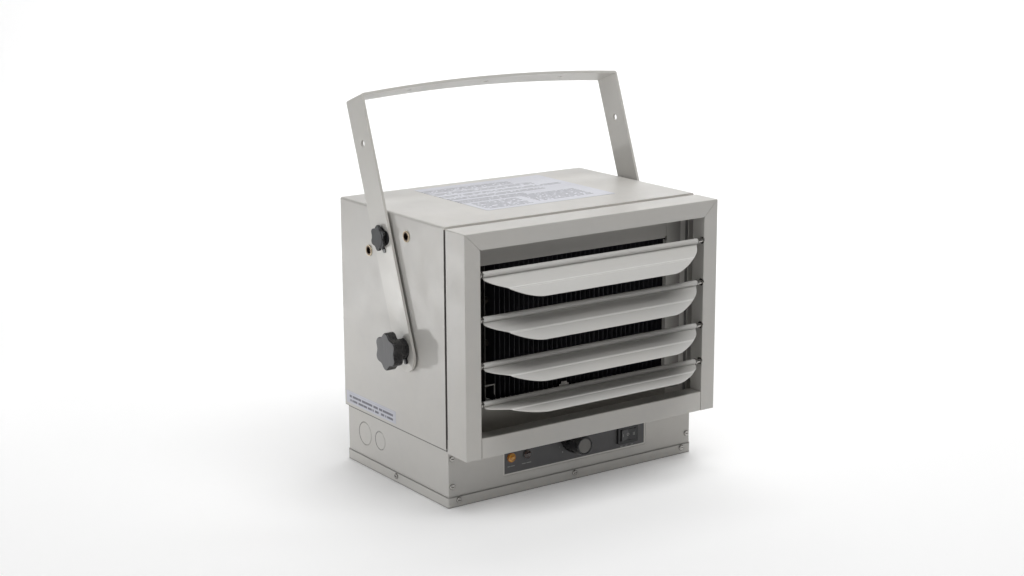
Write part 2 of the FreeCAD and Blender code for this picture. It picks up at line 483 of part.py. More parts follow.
# ---------------------------------------------------------------- base and panel screws
add("case_screws",
    *[screw(p, (0, 1, 0), 3.4, 1.9, 1.55, 7.0) for p in rear_pts],
    *[screw(p, (0, -1, 0), 3.6, 1.9, 1.55, 6.0) for p in panel_pts],
    *[screw(p, (0, -1, 0), 3.4, 1.9, 1.55, 7.0) for p in base_front],
    *[screw(p, (0, 1, 0), 3.4, 1.9, 1.55, 7.0) for p in base_rear],
    screw(base_side[0], (-1, 0, 0), 3.4, 1.9, 1.55, 7.0), screw(base_side[1], (1, 0, 0), 3.4, 1.9, 1.55, 7.0))

# ---------------------------------------------------------------- controls
for nm, x in (("power_lamp", LAMP_X), ("caution_lamp", LAMP2_X)):
    dome = Part.makeSphere(7.4, V(x, FF - 3.6 + 7.4, LAMP_Z)).common(box(x - 12, x + 12, FF - 5.0, FF - 1.0, LAMP_Z - 12, LAMP_Z + 12)).common(cyl((x, FF - 6, LAMP_Z), (0, 1, 0), 4.9, 10))
    add(nm, fuse(cyl((x, FF - 1.2, LAMP_Z), (0, 1, 0), 5.7, 1.2), cyl((x, FF - 0.1, LAMP_Z), (0, 1, 0), 5.2, 1.7), dome))
add("lamp_bodies", *[cyl((x, FF + 1.6, LAMP_Z), (0, 1, 0), 5.2, 22.0).fuse(ring((x, PAN_YB + 1.6, LAMP_Z), (0, 1, 0), 7.5, 5.0, 2.5)).fuse(box(x - 3, x - 2.2, FF + 23.0, FF + 32, LAMP_Z - 2, LAMP_Z + 2)).fuse(box(x + 2.2, x + 3, FF + 23.0, FF + 32, LAMP_Z - 2, LAMP_Z + 2)).removeSplitter() for x in (LAMP_X, LAMP2_X)])

# thermostat: fixed body with a bush through the fascia, turning shaft and knob
s = cyl((TH_X, FF - 3.0, TH_Z), (0, 1, 0), 5.0, 3.0 + PAN_YB + 1.6 - FF + 2).fuse(box(TH_X - 19, TH_X + 19, PAN_YB + 1.6, PAN_YB + 22, TH_Z - 14, TH_Z + 14))
s = s.fuse(box(TH_X - 12, TH_X + 12, PAN_YB + 22, PAN_YB + 26, TH_Z - 10, TH_Z + 10))
s = s.cut(cyl((TH_X, -130, TH_Z), (0, 1, 0), 3.0 + FIT, 130 + PAN_YB + 12))
add("thermostat_body", s.removeSplitter())
add("thermostat_nut", ring((TH_X, FF - 2.2, TH_Z), (0, 1, 0), 8.0, 5.0, 2.2))
KF = -137.6                                # front of the knob
add("thermostat_shaft", cyl((TH_X, KF + 8, TH_Z), (0, 1, 0), 3.0, PAN_YB + 11 - KF - 8))
w = Part.makePolygon([V(TH_X + r, y, TH_Z) for r, y in [
    (3.0, KF + 8.0), (0.0, KF + 8.0), (0.0, KF + 0.8), (9.3, KF + 0.8), (9.7, KF), (10.3, KF), (10.8, KF + 0.6),
    (12.6, KF + 14.0), (13.0, FF - 4.2), (13.0, FF - 0.8), (9.2, FF - 0.8), (9.2, FF - 3.8), (3.0, FF - 3.8), (3.0, KF + 8.0)]])
s = Part.Face(w).revolve(V(TH_X, 0, TH_Z), Y, 360)
s = s.fuse(box(TH_X - 15.2, TH_X - 9.6, FF - 11.0, FF - 0.8, TH_Z - 0.6, TH_Z + 3.2))
for k in range(20):
    if 9 <= k <= 11:
        continue
    fl_ = cyl((0, KF + 5, 13.4), (0, 1, 0), 1.9, 25.0)
    fl_.rotate(V(0, 0, 0), Y, k * 18.0 + 90.0)
    fl_.translate(V(TH_X, 0, TH_Z))
    s = s.cut(fl_)
add("thermostat_knob", s.removeSplitter())

# three-position rocker lying on its side
YB = FF - 3.2
s = rounded(RK_X - RK_W / 2, RK_X + RK_W / 2, RK_Z - RK_H / 2, RK_Z + RK_H / 2, YB, FF, 1.2)
s = s.fuse(box(RK_X - 13.0, RK_X + 13.0, FF - 0.01, FF + 22, RK_Z - 9.3, RK_Z + 9.3))
s = s.cut(box(RK_X - 11.8, RK_X + 11.8, YB - 1, FF + 15, RK_Z - 7.0, RK_Z + 7.0))
s = s.cut(cyl((RK_X, FF + 3.0, RK_Z - 8.6), (0, 0, 1), 1.6 + FIT, 17.2))
s = s.fuse(Part.makeCompound([box(RK_X + d - 0.4, RK_X + d + 0.4, FF + 21.9, FF + 31, RK_Z - 3.1, RK_Z + 3.1) for d in (-8.0, 0.0, 8.0)]))
add("rocker_frame", s.removeSplitter())
pr = [(-10.6, YB - 1.4), (0.0, YB + 0.6), (10.6, YB - 1.4), (10.9, FF + 1.0), (5.0, FF + 6.4), (-5.0, FF + 6.4), (-10.9, FF + 1.0)]
s = poly([(RK_X + a, y, RK_Z - 6.6) for a, y in pr], (0, 0, 13.2))
s = s.fuse(cyl((RK_X, FF + 3.0, RK_Z - 8.4), (0, 0, 1), 1.6, 16.8)).removeSplitter()
add("rocker_paddle", s)

# ---------------------------------------------------------------- electrical parts in the lower box
s = box(-160, -128, 20, 92, 2.4, 22)
for k in range(4):
    y = 20 + 9 + k * 18
    s = s.cut(box(-157, -131, y - 6.5, y + 6.5, 13, 30))
add("terminal_block", s)
ts = []
for k in range(4):
    y = 20 + 9 + k * 18
    for x in (-151.5, -136.5):
        ts.append(cyl((x, y, 13), (0, 0, 1), 3.6, 3.2).cut(box(x - 4, x + 4, y - 0.5, y + 0.5, 15.2, 17)))
gs = cyl((-166, 5, 2.4), (0, 0, 1), 4.6, 3.0)
add("terminal_screws", *ts, gs.cut(box(-171, -161, 4.5, 5.5, 4.4, 6)))
s = box(-40, 18, -10, 52, 2.4, 8).fuse(box(-36, 14, -6, 48, 7.9, 52))
for x in (-28, -11, 6):
    for y in (-6, 40):
        s = s.cut(box(x - 5, x + 5, y, y + 8, 40, 60))
add("contactor", s.removeSplitter())
add("fan_delay_switch", cyl((60, 60, 2.4), (0, 0, 1), 14, 16).fuse(box(40, 80, 55, 65, 2.4, 4.4)).removeSplitter())
add("limit_thermostat", cyl((-118.0, -63.5, 240.0), (-1, 0, 0), 9.5, 2.0).fuse(cyl((-120.0, -63.5, 240.0), (-1, 0, 0), 8.0, 9.0)).cut(
    Part.makeCompound([cyl((-150, ROD_Y, z), (1, 0, 0), ROD_R + 6.0, 60) for z in ROD_Z])).removeSplitter())

# ---------------------------------------------------------------- labels (blank)
lab = rounded(0, 184.0, 0, 158.5, 0, 0.2, 3.0)
lab.rotate(V(0, 0, 0), X, -90)
lab.translate(V(-85.0, -58.75, 322.2))
bb = lab.BoundBox
lab.translate(V(0, -58.75 - bb.YMin, 322.0 - bb.ZMin))
add("blank_labels", lab, box(-BODY_HW - 0.2, -BODY_HW, -2.25, 111.25, 71.5, 86.5))

# ---------------------------------------------------------------- inserts, bracket, knobs
ins = []
piv = []
for m in (-1, 1):
    for k, (y, z) in enumerate(ins_pts):
        r = ring((-BODY_HW - 1.2, y, z), (1, 0, 0), 6.5, STUD_R + FIT, 1.2).fuse(ring((-BODY_HW, y, z), (1, 0, 0), 5.5, STUD_R + FIT, 14.0)).removeSplitter()
        r = r if m < 0 else mirror(r)
        (piv if k == 3 else ins).append(r)
add("threaded_inserts", *ins, *piv)

# strap: arms and bowed bar, drawn upright about the pivot, then leaned back
ro, ri = STRAP_X, STRAP_X - STRAP_T
hw = STRAP_W / 2


def bow(x, base, rise, span):
    return base + rise * (1 - (x / span) ** 2)


def arc3(a, b_, c):
    return Part.Arc(V(a[0], 0, a[1]), V(b_[0], 0, b_[1]), V(c[0], 0, c[1])).toShape()


def seg(a, c):
    return Part.makeLine(V(a[0], 0, a[1]), V(c[0], 0, c[1]))


R_O, R_I = 3.6, 0.6
lo, li = STRAP_L, STRAP_L - STRAP_T
w = Part.Wire([
    seg((-ro, -STRAP_END), (-ro, lo - R_O)),
    arc3((-ro, lo - R_O), (-ro + R_O * (1 - math.cos(math.pi / 4)), lo - R_O * (1 - math.sin(math.pi / 4))), (-ro + R_O, lo)),
    arc3((-ro + R_O, lo), (0, lo + STRAP_BOW), (ro - R_O, lo)),
    arc3((ro - R_O, lo), (ro - R_O * (1 - math.cos(math.pi / 4)), lo - R_O * (1 - math.sin(math.pi / 4))), (ro, lo - R_O)),
    seg((ro, lo - R_O), (ro, -STRAP_END)),
    seg((ro, -STRAP_END), (ri, -STRAP_END)),
    seg((ri, -STRAP_END), (ri, li - R_I)),
    arc3((ri, li - R_I), (ri - R_I * (1 - math.cos(math.pi / 4)), li - R_I * (1 - math.sin(math.pi / 4))), (ri - R_I, li)),
    arc3((ri - R_I, li), (0, li + STRAP_BOW), (-ri + R_I, li)),
    arc3((-ri + R_I, li), (-ri + R_I * (1 - math.cos(math.pi / 4)), li - R_I * (1 - math.sin(math.pi / 4))), (-ri, li - R_I)),
    seg((-ri, li - R_I), (-ri, -STRAP_END)),
    seg((-ri, -STRAP_END), (-ro, -STRAP_END)),
])
s = Part.Face(w).extrude(V(0, STRAP_W, 0))
s.translate(V(0, -hw, 0))
keep = box(-200, 200, -hw, hw, -STRAP_END + hw, 400).fuse(cyl((-200, 0, -STRAP_END + hw), (1, 0, 0), hw, 400))
s = s.common(keep)
s = s.cut(cyl((-200, 0, 0), (1, 0, 0), STUD_R + 0.08, 400))
s = s.cut(cyl((-200, 0, INDEX_R), (1, 0, 0), STUD_R + 0.08, 400))
s = s.cut(cyl((-200, 0, ARM_HOLE_W), (1, 0, 0), ARM_HOLE_R, 400))
for x in (-BAR_HOLE_X, 0.0, BAR_HOLE_X):
    s = s.cut(cyl((x, 0, 250), (0, 0, 1), BAR_HOLE_R, 60))
s = s.removeSplitter()


def lean(q):
    q = q.copy()
    q.rotate(V(0, 0, 0), X, -TILT)
    q.translate(V(0, PIV_Y, PIV_Z))
    return q


add("mounting_bracket", lean(s))


def star(R, depth, lobes, x0, x1, rnd, turn=0.0):
    """Lobed knob head between x0 and x1 about the X axis."""
    pts = []
    n_ = lobes * 8
    for k in range(n_):
        t = 2 * math.pi * k / n_
        c = 0.5 + 0.5 * math.cos(lobes * t)
        r = R - depth * (1 - c) ** 1.15
        pts.append(V(x0, r * math.cos(t + turn), r * math.sin(t + turn)))
    cv = Part.BSplineCurve()
    cv.interpolate(pts, PeriodicFlag=True)
    q = Part.Face(Part.Wire([cv.toShape()])).extrude(V(x1 - x0, 0, 0))
    try:
        q = q.makeFillet(rnd, [e for e in q.Edges if e.Length > 3 * R])
    except Exception:
        print("no fillet on star", R)
    return q


def washer(x0, x1, ro_, tab_r, tab_w, tab_deg):
    """Washer with a small locating tab; tab_deg is the tab's lean forward of straight down."""
    q = box(x0, x1, -tab_w / 2, tab_w / 2, -tab_r + tab_w / 2, 0).fuse(cyl((x0, 0, -tab_r + tab_w / 2), (1, 0, 0), tab_w / 2, x1 - x0))
    q.rotate(V(0, 0, 0), X, -tab_deg)
    q = q.fuse(cyl((x0, 0, 0), (1, 0, 0), ro_, x1 - x0))
    return q.cut(cyl((x0 - 1, 0, 0), (1, 0, 0), STUD_R + 0.08, x1 - x0 + 2)).removeSplitter()


# pivot knob (tight) and its stud
P0 = -STRAP_X - 2.5                       # hub's seat on its washer
k_ = star(21.8, 3.8, 6, -STRAP_X - 24.7, -STRAP_X - 12.5, 1.6, math.radians(30))
k_ = k_.fuse(cyl((-STRAP_X - 13.0, 0, 0), (1, 0, 0), 12.0, 10.5 - 0.1)).removeSplitter()
k_ = k_.cut(cyl((-STRAP_X - 19.0, 0, 0), (1, 0, 0), STUD_R + FIT, 40))
pivot_knob = k_
pivot_stud = cyl((-STRAP_X - 18.8, 0, 0), (1, 0, 0), STUD_R, 18.8 + STRAP_X - 165.0)
pw = washer(-STRAP_X - 2.5, -STRAP_X, 12.0, 18.0, 5.0, 25.0)
sp = ring((-STRAP_X + STRAP_T, 0, 0), (1, 0, 0), 10.0, STUD_R + 0.08, 2.1)
# lock knob, backed out so that its stud is clear of the index inserts
L0 = -STRAP_X - 1.2 - LOCK_GAP
k_ = star(15.0, 3.0, 6, L0 - 3.4, L0, 0.7, math.radians(30))
k_ = k_.fuse(cyl((L0 - 3.9, 0, 0), (1, 0, 0), 11.0, 2.0)).removeSplitter()
k_ = k_.cut(cyl((L0 - 3.1, 0, 0), (1, 0, 0), STUD_R + FIT, 20))
lock_knob = k_
tip = -BODY_HW - 1.2 - 0.3
lock_stud = cyl((L0 - 2.9, 0, 0), (1, 0, 0), STUD_R, tip - (L0 - 2.9))
lw = washer(-STRAP_X - 1.2, -STRAP_X, 12.3, 18.0, 5.0, 25.0)
# ear on the front side of the lock washer
lw = lw.fuse(cyl((-STRAP_X - 1.2, -8.5, 1.2), (1, 0, 0), 8.5, 1.2).cut(cyl((-STRAP_X - 2, 0, 0), (1, 0, 0), 8.0, 3))).removeSplitter()


def at_pivot(q):
    q = q.copy()
    q.translate(V(0, PIV_Y, PIV_Z))
    return q


def at_lock(q):
    y, z = INS[1]
    q = q.copy()
    q.translate(V(0, y, z))
    return q


for side, f in (("left", lambda q: q), ("right", mirror)):
    add("pivot_knob_" + side, f(at_pivot(pivot_knob)))
    add("pivot_stud_" + side, f(at_pivot(pivot_stud)))
    add("lock_knob_" + side, f(at_lock(lock_knob)))
    add("lock_stud_" + side, f(at_lock(lock_stud)))
add("pivot_spacers", at_pivot(sp), mirror(at_pivot(sp)))
add("knob_washers", at_pivot(pw), mirror(at_pivot(pw)), at_lock(lw), mirror(at_lock(lw)))

# ---------------------------------------------------------------- write
for name, shape in nodes.items():
    shape.exportStep("parts/%s.step" % name)
print(len(nodes), "nodes", sum(len(s.Solids) for s in nodes.values()), "solids")
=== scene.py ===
import math

import bpy
from mathutils import Matrix, Vector

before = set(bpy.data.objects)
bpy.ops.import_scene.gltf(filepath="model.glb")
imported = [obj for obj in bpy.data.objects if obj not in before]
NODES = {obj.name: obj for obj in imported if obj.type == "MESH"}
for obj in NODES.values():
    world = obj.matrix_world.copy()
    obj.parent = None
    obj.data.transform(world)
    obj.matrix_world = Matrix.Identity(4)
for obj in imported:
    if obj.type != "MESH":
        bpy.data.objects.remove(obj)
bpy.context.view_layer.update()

scene = bpy.context.scene

# ------------------------------------------------------------------ camera
CAM = Vector((-1.2471, -1.77675, 0.7218))
YAW, PITCH, ROLL = math.radians(34.83), math.radians(13.29), math.radians(-0.22)
d = Vector((math.sin(YAW) * math.cos(PITCH), math.cos(YAW) * math.cos(PITCH), -math.sin(PITCH)))
r = Vector((math.cos(YAW), -math.sin(YAW), 0.0))
u = r.cross(d)
r2 = r * math.cos(ROLL) + u * math.sin(ROLL)
u2 = -r * math.sin(ROLL) + u * math.cos(ROLL)
cam_data = bpy.data.cameras.new("camera")
cam_data.sensor_width = 36.0
cam_data.lens = 65.50
cam_data.clip_start = 0.02
cam_data.clip_end = 60.0
cam = bpy.data.objects.new("camera", cam_data)
scene.collection.objects.link(cam)
m = Matrix((
    (r2.x, u2.x, -d.x, CAM.x),
    (r2.y, u2.y, -d.y, CAM.y),
    (r2.z, u2.z, -d.z, CAM.z),
    (0, 0, 0, 1)))
cam.matrix_world = m
scene.camera = cam
scene.view_settings.view_transform = "Standard"


# ------------------------------------------------------------------ material tools
class Mat:
    """A small builder for node materials."""

    def __init__(self, name):
        self.m = bpy.data.materials.new(name)
        self.m.use_nodes = True
        self.t = self.m.node_tree
        self.bsdf = next(n for n in self.t.nodes if n.type == "BSDF_PRINCIPLED")
        self.coord = self.t.nodes.new("ShaderNodeTexCoord").outputs["Object"]

    def node(self, kind, **inputs):
        n = self.t.nodes.new(kind)
        for k, v in inputs.items():
            n.inputs[k.replace("_", " ")].default_value = v
        return n

    def link(self, a, b):
        self.t.links.new(a, b)
        return b

    def noise(self, scale, detail=3.0, rough=0.5, vec=None, dist=0.0):
        n = self.t.nodes.new("ShaderNodeTexNoise")
        n.inputs["Scale"].default_value = scale
        n.inputs["Detail"].default_value = detail
        n.inputs["Roughness"].default_value = rough
        n.inputs["Distortion"].default_value = dist
        self.link(vec or self.coord, n.inputs["Vector"])
        return n.outputs["Fac"]

    def stretch(self, sx, sy, sz):
        n = self.t.nodes.new("ShaderNodeMapping")
        n.inputs["Scale"].default_value = (sx, sy, sz)
        self.link(self.coord, n.inputs["Vector"])
        return n.outputs["Vector"]

    def ramp(self, fac, stops):
        n = self.t.nodes.new("ShaderNodeValToRGB")
        e = n.color_ramp.elements
        while len(e) < len(stops):
            e.new(0.5)
        for k, (p, c) in enumerate(stops):
            e[k].position = p
            e[k].color = (c, c, c, 1) if isinstance(c, (int, float)) else tuple(c) + (1,)
        self.link(fac, n.inputs["Fac"])
        return n.outputs["Color"]

    def range(self, fac, a, b, lo, hi):
        n = self.t.nodes.new("ShaderNodeMapRange")
        n.inputs["From Min"].default_value = a
        n.inputs["From Max"].default_value = b
        n.inputs["To Min"].default_value = lo
        n.inputs["To Max"].default_value = hi
        self.link(fac, n.inputs["Value"])
        return n.outputs["Result"]

    def mix(self, fac, a, b, mode="MIX"):
        n = self.t.nodes.new("ShaderNodeMix")
        n.data_type = "RGBA"
        n.blend_type = mode
        ins = [i for i in n.inputs if i.type == "RGBA"]
        for s, v in ((ins[0], a), (ins[1], b)):
            if hasattr(v, "links"):
                self.link(v, s)
            else:
                s.default_value = tuple(v) + (1,)
        if hasattr(fac, "links"):
            self.link(fac, n.inputs["Factor"])
        else:
            n.inputs["Factor"].default_value = fac
        return [o for o in n.outputs if o.type == "RGBA"][0]

    def math(self, op, a, b=0.0):
        n = self.t.nodes.new("ShaderNodeMath")
        n.operation = op
        for s, v in ((n.inputs[0], a), (n.inputs[1], b)):
            if hasattr(v, "links"):
                self.link(v, s)
            else:
                s.default_value = v
        return n.outputs[0]

    def bump(self, height, strength, distance, normal=None):
        n = self.t.nodes.new("ShaderNodeBump")
        n.inputs["Strength"].default_value = strength
        n.inputs["Distance"].default_value = distance
        self.link(height, n.inputs["Height"])
        if normal is not None:
            self.link(normal, n.inputs["Normal"])
        self.link(n.outputs["Normal"], self.bsdf.inputs["Normal"])
        return n.outputs["Normal"]

    def set(self, **kw):
        for k, v in kw.items():
            s = self.bsdf.inputs[k.replace("_", " ")]
            if hasattr(v, "links"):
                self.link(v, s)
            else:
                s.default_value = v
        return self


def lin(rgb):
    """sRGB 0-255 to linear."""
    out = []
    for c in rgb:
        c = c / 255.0
        out.append(c / 12.92 if c <= 0.04045 else ((c + 0.055) / 1.055) ** 2.4)
    return tuple(out)


def powder(name, rgb, rough=0.42, tex=900.0, bump=0.05, dirt=0.05, shade=None):
    """Powder coat: fine orange peel, faint mottling and a slightly uneven gloss. shade(Area) gives a factor on the colour."""
    k = Mat(name)
    base = lin(rgb)
    dark = tuple(c * (1 - dirt) for c in base)
    warm = (base[0] * 1.01, base[1] * 1.0, base[2] * 0.985)
    big = k.noise(9.0, 4.0, 0.55)
    fine = k.noise(tex, 2.0, 0.6)
    col = k.mix(k.range(big, 0.35, 0.65, 0.0, 1.0), base, warm)
    col = k.mix(k.range(k.noise(60.0, 5.0, 0.6), 0.45, 0.75, 0.0, 0.6), col, dark)
    col = k.mix(k.range(fine, 0.3, 0.7, 0.0, 0.10), col, dark)
    if shade:
        col = shade(Area(k), col)
    k.set(Base_Color=col, Roughness=k.range(k.noise(24.0, 4.0, 0.6), 0.3, 0.7, rough - 0.05, rough + 0.07))
    k.set(IOR=1.5)
    k.bump(k.math("ADD", fine, k.math("MULTIPLY", k.noise(tex * 0.35, 2.0), 1.4)), bump, 0.0004)
    return k.m


def plastic(name, rgb, rough=0.45, grain=1400.0, bump=0.06, spread=0.12):
    k = Mat(name)
    base = lin(rgb)
    light = tuple(min(1.0, c * (1 + spread) + 0.002) for c in base)
    n1 = k.noise(30.0, 4.0, 0.6)
    k.set(Base_Color=k.mix(k.range(n1, 0.35, 0.7, 0.0, 1.0), base, light),
          Roughness=k.range(k.noise(90.0, 5.0, 0.6), 0.3, 0.7, rough - 0.06, rough + 0.08))
    k.set(IOR=1.49)
    k.bump(k.noise(grain, 2.0, 0.6), bump, 0.0003)
    return k.m


def metal(name, rgb, rough=0.3, streak=(4.0, 4.0, 90.0), bump=0.04, spread=0.18):
    k = Mat(name)
    base = lin(rgb)
    dark = tuple(c * (1 - spread) for c in base)
    n1 = k.noise(9.0, 4.0, 0.65, k.stretch(*streak))
    k.set(Base_Color=k.mix(k.range(n1, 0.3, 0.7, 0.0, 1.0), base, dark),
          Roughness=k.range(n1, 0.3, 0.7, rough - 0.07, rough + 0.12))
    k.set(Metallic=1.0)
    k.bump(k.noise(300.0, 3.0, 0.6, k.stretch(*[c / 8 for c in streak])), bump, 0.0002)
    return k.m


def galvanised(name, lo=(0.40, 0.41, 0.42), hi=(0.60, 0.61, 0.63)):
    """Hot-dip zinc spangle."""
    k = Mat(name)
    v = k.t.nodes.new("ShaderNodeTexVoronoi")
    v.inputs["Scale"].default_value = 160.0
    k.link(k.coord, v.inputs["Vector"])
    g = k.t.nodes.new("ShaderNodeSeparateColor")
    k.link(v.outputs["Color"], g.inputs["Color"])
    k.set(Base_Color=k.ramp(g.outputs[0], [(0.0, lo), (1.0, hi)]),
          Roughness=k.range(g.outputs[1], 0.0, 1.0, 0.28, 0.5))
    k.set(Metallic=1.0)
    k.bump(k.noise(500.0, 2.0), 0.05, 0.0002)
    return k.m


class Area:
    """Flat shapes drawn in node coordinates, as 0-1 masks. Lengths are metres."""

    def __init__(self, k):
        self.k = k
        s = k.t.nodes.new("ShaderNodeSeparateXYZ")
        k.link(k.coord, s.inputs[0])
        self.x, self.y, self.z = s.outputs
        n = k.t.nodes.new("ShaderNodeTexCoord")
        q = k.t.nodes.new("ShaderNodeSeparateXYZ")
        k.link(n.outputs["Normal"], q.inputs[0])
        self.nx, self.ny, self.nz = q.outputs

    def above(self, v, edge, soft=0.00012):
        return self.k.range(v, edge - soft, edge + soft, 0.0, 1.0)

    def below(self, v, edge, soft=0.00012):
        return self.k.range(v, edge - soft, edge + soft, 1.0, 0.0)

    def both(self, *m):
        out = m[0]
        for q in m[1:]:
            out = self.k.math("MULTIPLY", out, q)
        return out

    def either(self, *m):
        out = m[0]
        for q in m[1:]:
            out = self.k.math("MAXIMUM", out, q)
        return out

    def box(self, a, a0, a1, b, b0, b1, soft=0.00012):
        return self.both(self.above(a, a0, soft), self.below(a, a1, soft), self.above(b, b0, soft), self.below(b, b1, soft))

    def away(self, a, a0, b, b0):
        """Distance in the plane of a and b from the point a0, b0."""
        k = self.k
        da, db = k.math("SUBTRACT", a, a0), k.math("SUBTRACT", b, b0)
        return k.math("SQRT", k.math("ADD", k.math("MULTIPLY", da, da), k.math("MULTIPLY", db, db)))

    def disc(self, a, a0, b, b0, r, soft=0.00012):
        return self.below(self.away(a, a0, b, b0), r, soft)

    def hoop(self, a, a0, b, b0, r0, r1, soft=0.00012):
        w = self.away(a, a0, b, b0)
        return self.both(self.above(w, r0, soft), self.below(w, r1, soft))

    def inset(self, a, a0, a1, b, b0, b1, r):
        """Distance inwards from the edge of a rectangle with corners of radius r (negative outside)."""
        k = self.k
        ca, cb, ha, hb = (a0 + a1) / 2, (b0 + b1) / 2, (a1 - a0) / 2, (b1 - b0) / 2
        qa = k.math("MAXIMUM", k.math("SUBTRACT", k.math("ABSOLUTE", k.math("SUBTRACT", a, ca)), ha - r), 0.0)
        qb = k.math("MAXIMUM", k.math("SUBTRACT", k.math("ABSOLUTE", k.math("SUBTRACT", b, cb)), hb - r), 0.0)
        far = k.math("SQRT", k.math("ADD", k.math("MULTIPLY", qa, qa), k.math("MULTIPLY", qb, qb)))
        return k.math("SUBTRACT", r, far)

    def rows(self, run, across, pitch, fill, breaks, seed):
        """Rows of grey dashes that stand for small print: nothing can be read in them."""
        k = self.k
        step = k.math("DIVIDE", across, pitch)
        row = k.math("FLOOR", step)
        line = k.math("SUBTRACT", step, row)
        bar = self.both(k.range(line, 0.12, 0.26, 0.0, 1.0), k.range(line, 0.12 + fill, 0.26 + fill, 1.0, 0.0))
        v = k.t.nodes.new("ShaderNodeCombineXYZ")
        k.link(run, v.inputs[0])
        k.link(k.math("MULTIPLY", row, 0.731), v.inputs[1])
        v.inputs[2].default_value = seed
        words = k.range(k.noise(breaks, 1.0, 0.4, v.outputs[0]), 0.36, 0.44, 0.0, 1.0)
        return self.both(bar, words)


def label_film(name):
    """Pale film with blocks of generic dashes; the side label carries one short row."""
    k = Mat(name)
    a = Area(k)
    base, light = lin((184, 185, 194)), lin((190, 191, 199))
    film = k.mix(k.range(k.noise(18.0, 3.0), 0.35, 0.65, 0.0, 1.0), base, light)
    small = a.rows(a.x, a.y, 0.0056, 0.50, 260.0, 1.7)
    blocks = a.either(
        a.box(a.x, -0.078, -0.014, a.y, -0.0500, -0.0125, 0.0006),
        a.box(a.x, -0.002, 0.078, a.y, -0.0450, -0.0010, 0.0006),
        a.box(a.x, -0.091, 0.012, a.y, -0.0080, 0.0110, 0.0006),
        a.box(a.x, -0.090, 0.052, a.y, 0.0165, 0.0290, 0.0006),
        a.box(a.x, -0.088, 0.088, a.y, 0.0350, 0.0450, 0.0006),
        a.box(a.x, -0.090, 0.060, a.y, 0.0520, 0.0640, 0.0006),
        a.box(a.x, -0.088, 0.040, a.y, 0.0690, 0.0860, 0.0006))
    side = a.both(a.rows(a.y, a.z, 0.0052, 0.56, 230.0, 6.2), a.box(a.y, 0.004, 0.104, a.z, 0.0738, 0.0842, 0.0005))
    ink = a.either(a.both(blocks, small, a.above(a.x, -0.150)), a.both(side, a.below(a.x, -0.150)))
    k.set(Base_Color=k.mix(k.math("MULTIPLY", ink, 0.95), film, lin((84, 84, 96))),
          Roughness=k.range(k.noise(300.0, 3.0), 0.3, 0.7, 0.30, 0.42))
    k.set(IOR=1.48)
    k.bump(k.noise(900.0, 2.0), 0.012, 0.0002)
    return k.m


def fascia_film(name):
    """Charcoal film with a thin light border, plain ticks about the dial and plain dashes under the lamps."""
    k = Mat(name)
    a = Area(k)
    base, light = lin((77, 77, 78)), lin((84, 83, 84))
    film = k.mix(k.range(k.noise(34.0, 4.0, 0.6), 0.35, 0.7, 0.0, 1.0), base, light)
    edge = a.inset(a.x, -0.1008, 0.1068, a.z, 0.0228, 0.0623, 0.0022)
    border = a.below(edge, 0.0019, 0.0002)
    marks = []
    for n in range(11):
        t = math.radians(-135 + 27 * n)
        cx, cz = -0.0042 + 0.0172 * math.sin(t), 0.048 + 0.0172 * math.cos(t)
        if cz < 0.0615:
            marks.append(a.disc(a.x, cx, a.z, cz, 0.00055 if n % 5 else 0.0009))
    dash = [a.box(a.x, x0, x1, a.z, z0, z0 + 0.0010) for x0, x1, z0 in (
        (-0.0945, -0.0905, 0.0322), (-0.0898, -0.0845, 0.0322), (-0.0745, -0.0690, 0.0322), (-0.0680, -0.0615, 0.0322),
        (0.0690, 0.0725, 0.0256), (0.0768, 0.0800, 0.0256), (0.0850, 0.0885, 0.0256))]
    ink = a.either(*marks, *dash)
    col = k.mix(k.math("MULTIPLY", ink, 0.75), film, lin((150, 149, 146)))
    col = k.mix(border, col, lin((206, 203, 198)))
    k.set(Base_Color=col, Roughness=k.mix(border, k.range(k.noise(90.0, 5.0, 0.6), 0.3, 0.7, 0.46, 0.6), (0.35, 0.35, 0.35)))
    k.set(IOR=1.48)
    k.bump(k.noise(2200.0, 2.0, 0.6), 0.05, 0.0002)
    return k.m


def knob_grip(name, rim=(34, 33, 34), face=(100, 100, 101), axis="nx", way=-1.0, limit=None):
    """Black moulding with glossy flanks; the flat end is a finely grained, lighter grey."""
    k = Mat(name)
    a = Area(k)
    n = a.nx if axis == "nx" else a.ny
    m = k.range(k.math("ABSOLUTE", n) if way == 0 else k.math("MULTIPLY", n, way), 0.90, 0.97, 0.0, 1.0)
    if limit:
        m = a.both(m, limit(a))
    base, light = lin(rim), lin(tuple(c + 8 for c in rim))
    fa, fb = lin(face), lin(tuple(c + 7 for c in face))
    flank = k.mix(k.range(k.noise(70.0, 4.0, 0.6), 0.35, 0.7, 0.0, 1.0), base, light)
    end = k.mix(k.range(k.noise(9.0, 3.0, 0.6, k.stretch(30.0, 60.0, 6.0)), 0.35, 0.7, 0.0, 1.0), fa, fb)
    k.set(Base_Color=k.mix(m, flank, end),
          Roughness=k.mix(m, k.range(k.noise(120.0, 4.0), 0.3, 0.7, 0.22, 0.34), (0.62, 0.62, 0.62)))
    k.set(IOR=1.49)
    k.bump(k.noise(1600.0, 2.0, 0.6), 0.05, 0.0002)
    return k.m


